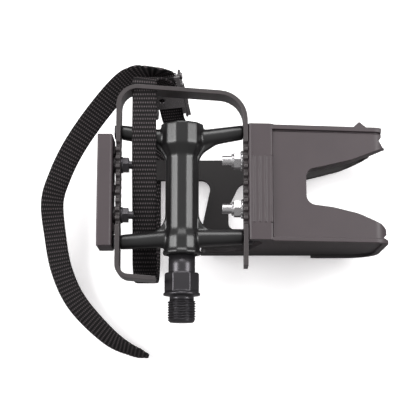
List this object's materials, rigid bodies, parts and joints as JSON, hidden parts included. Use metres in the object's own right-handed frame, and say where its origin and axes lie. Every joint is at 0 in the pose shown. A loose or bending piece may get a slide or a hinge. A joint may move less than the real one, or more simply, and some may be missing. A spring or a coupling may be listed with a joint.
{
  "type": "bicycle pedal with toe clip and strap",
  "caption": "Single-sided black bicycle pedal with a toothed cage, a rear reflector, a moulded toe clip and a webbing strap in a quick-release cam buckle.",
  "frame": {"origin": "on the spindle's axis at the shoulder that meets the crank", "axes": "+Y along the spindle, away from the crank; +X to the rider's toe; -Z to the rider's foot"},
  "size_m": [0.1838, 0.152, 0.0735],
  "materials": {
    "blackened_steel": "black oxide, satin",
    "black_rubber": "matte",
    "bronze": "plain sintered",
    "bearing_steel": "ground and hardened",
    "zinc_steel": "bright zinc plate",
    "black_plastic": "fine texture",
    "black_body": "gloss black paint on die-cast aluminium",
    "black_cage": "satin black paint on steel",
    "grey_nylon": "dark grey moulded nylon",
    "amber_lens": "clear amber with prisms behind",
    "webbing": "ribbed polyester webbing",
    "buckle_steel": "gloss black plate",
    "spring_steel": "bright wire"
  },
  "bodies": {
    "spindle_set": {"spindle": "blackened_steel", "bearing_cone": "bearing_steel", "lock_washer": "zinc_steel", "lock_nut": "zinc_steel"},
    "pedal": {"pedal_body": "black_body", "spindle_seal": "black_rubber", "inner_bush": "bronze", "bearing_cup": "bearing_steel", "dust_cap": "black_plastic", "cage": "black_cage", "cage_screws": "blackened_steel", "toe_clip": "grey_nylon", "clip_bolts": "zinc_steel", "clip_washers": "zinc_steel", "clip_nuts": "zinc_steel", "reflector_housing": "grey_nylon", "reflector_lens": "amber_lens", "reflector_studs": "blackened_steel", "reflector_nuts": "blackened_steel", "strap": "webbing", "buckle_frame": "buckle_steel", "buckle_pin": "buckle_steel", "buckle_spring": "spring_steel", "roller_pin": "buckle_steel"},
    "ball_ring": {"bearing_balls": "bearing_steel"},
    "lever": {"buckle_lever": "buckle_steel"},
    "roller": {"buckle_roller": "buckle_steel"}
  },
  "joints": [
    {"name": "pedal_spin", "type": "hinge", "parent": "spindle_set", "child": "pedal", "pos_m": [0, 0, 0], "axis": [0, 1, 0], "continuous": true},
    {"name": "ball_roll", "type": "hinge", "parent": "spindle_set", "child": "ball_ring", "pos_m": [0, 0, 0], "axis": [0, 1, 0], "continuous": true},
    {"name": "buckle_release", "type": "hinge", "parent": "pedal", "child": "lever", "pos_m": [-0.00717, 0.10873, -0.03131], "axis": [0.989, 0.0717, 0.1293], "range_deg": [0, 55], "stiffness_Nm_per_rad": 0.05, "springref_deg": -22.92},
    {"name": "roller_spin", "type": "hinge", "parent": "pedal", "child": "roller", "pos_m": [-0.01005, 0.11721, -0.01395], "axis": [0.989, 0.0717, 0.1293], "continuous": true}
  ],
  "couplings": [
    {"joint": "ball_roll", "follows": "pedal_spin", "ratio": 0.625}
  ]
}
